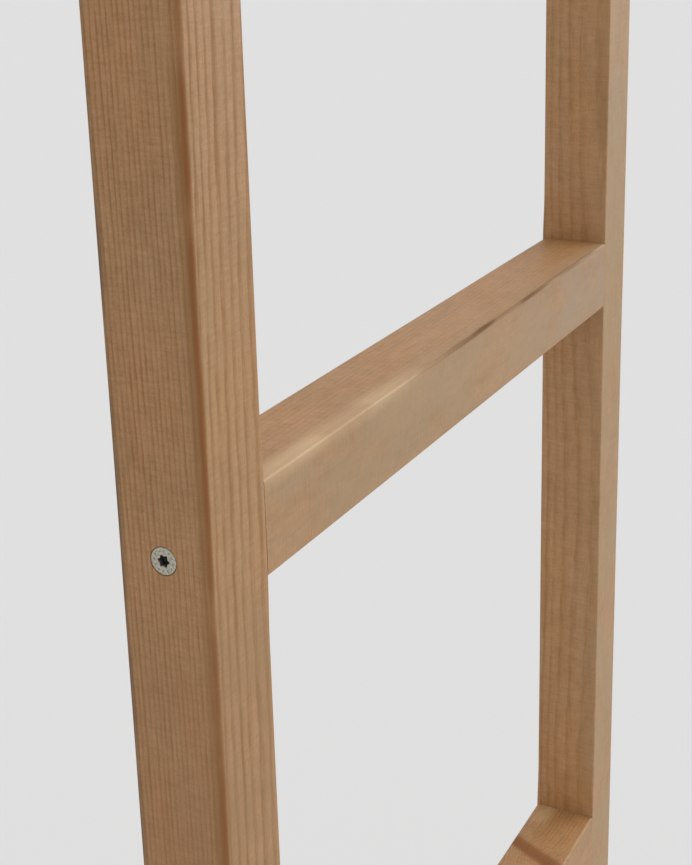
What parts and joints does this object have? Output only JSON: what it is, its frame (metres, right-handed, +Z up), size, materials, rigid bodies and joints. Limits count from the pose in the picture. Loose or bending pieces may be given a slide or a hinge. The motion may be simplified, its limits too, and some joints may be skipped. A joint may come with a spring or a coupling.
{
  "type": "wooden leaning ladder rack",
  "caption": "Bare wooden ladder rack: two square uprights joined by level square rungs with flush countersunk screws, for leaning on a wall and hanging a quilt over.",
  "frame": {"origin": "on the floor, at the middle of the ladder's own box, with the uprights standing straight up", "axes": "+Z up along the uprights, +X across the ladder to the right as seen from the room, +Y towards the wall that the ladder leans on"},
  "size_m": [0.545, 0.0484, 1.8],
  "materials": {
    "timber": "planed softwood with a warm brown oil, straight grain, satin",
    "dowel_wood": "pale fluted hardwood, dry",
    "screw_steel": "dull grey zinc-flake coating",
    "foot_rubber": "matt, fine cross-ribbed",
    "wall_felt": "pressed wool felt"
  },
  "bodies": {
    "root": {"left_stile": "timber", "right_stile": "timber", "rung_1": "timber", "rung_2": "timber", "rung_3": "timber", "rung_4": "timber", "screw_1_left": "screw_steel", "screw_1_right": "screw_steel", "screw_2_left": "screw_steel", "screw_2_right": "screw_steel", "screw_3_left": "screw_steel", "screw_3_right": "screw_steel", "screw_4_left": "screw_steel", "screw_4_right": "screw_steel", "dowel_1_left": "dowel_wood", "dowel_1_right": "dowel_wood", "dowel_2_left": "dowel_wood", "dowel_2_right": "dowel_wood", "dowel_3_left": "dowel_wood", "dowel_3_right": "dowel_wood", "dowel_4_left": "dowel_wood", "dowel_4_right": "dowel_wood", "foot_pad_left": "foot_rubber", "foot_pad_right": "foot_rubber", "wall_pad_left": "wall_felt", "wall_pad_right": "wall_felt"}
  },
  "joints": []
}
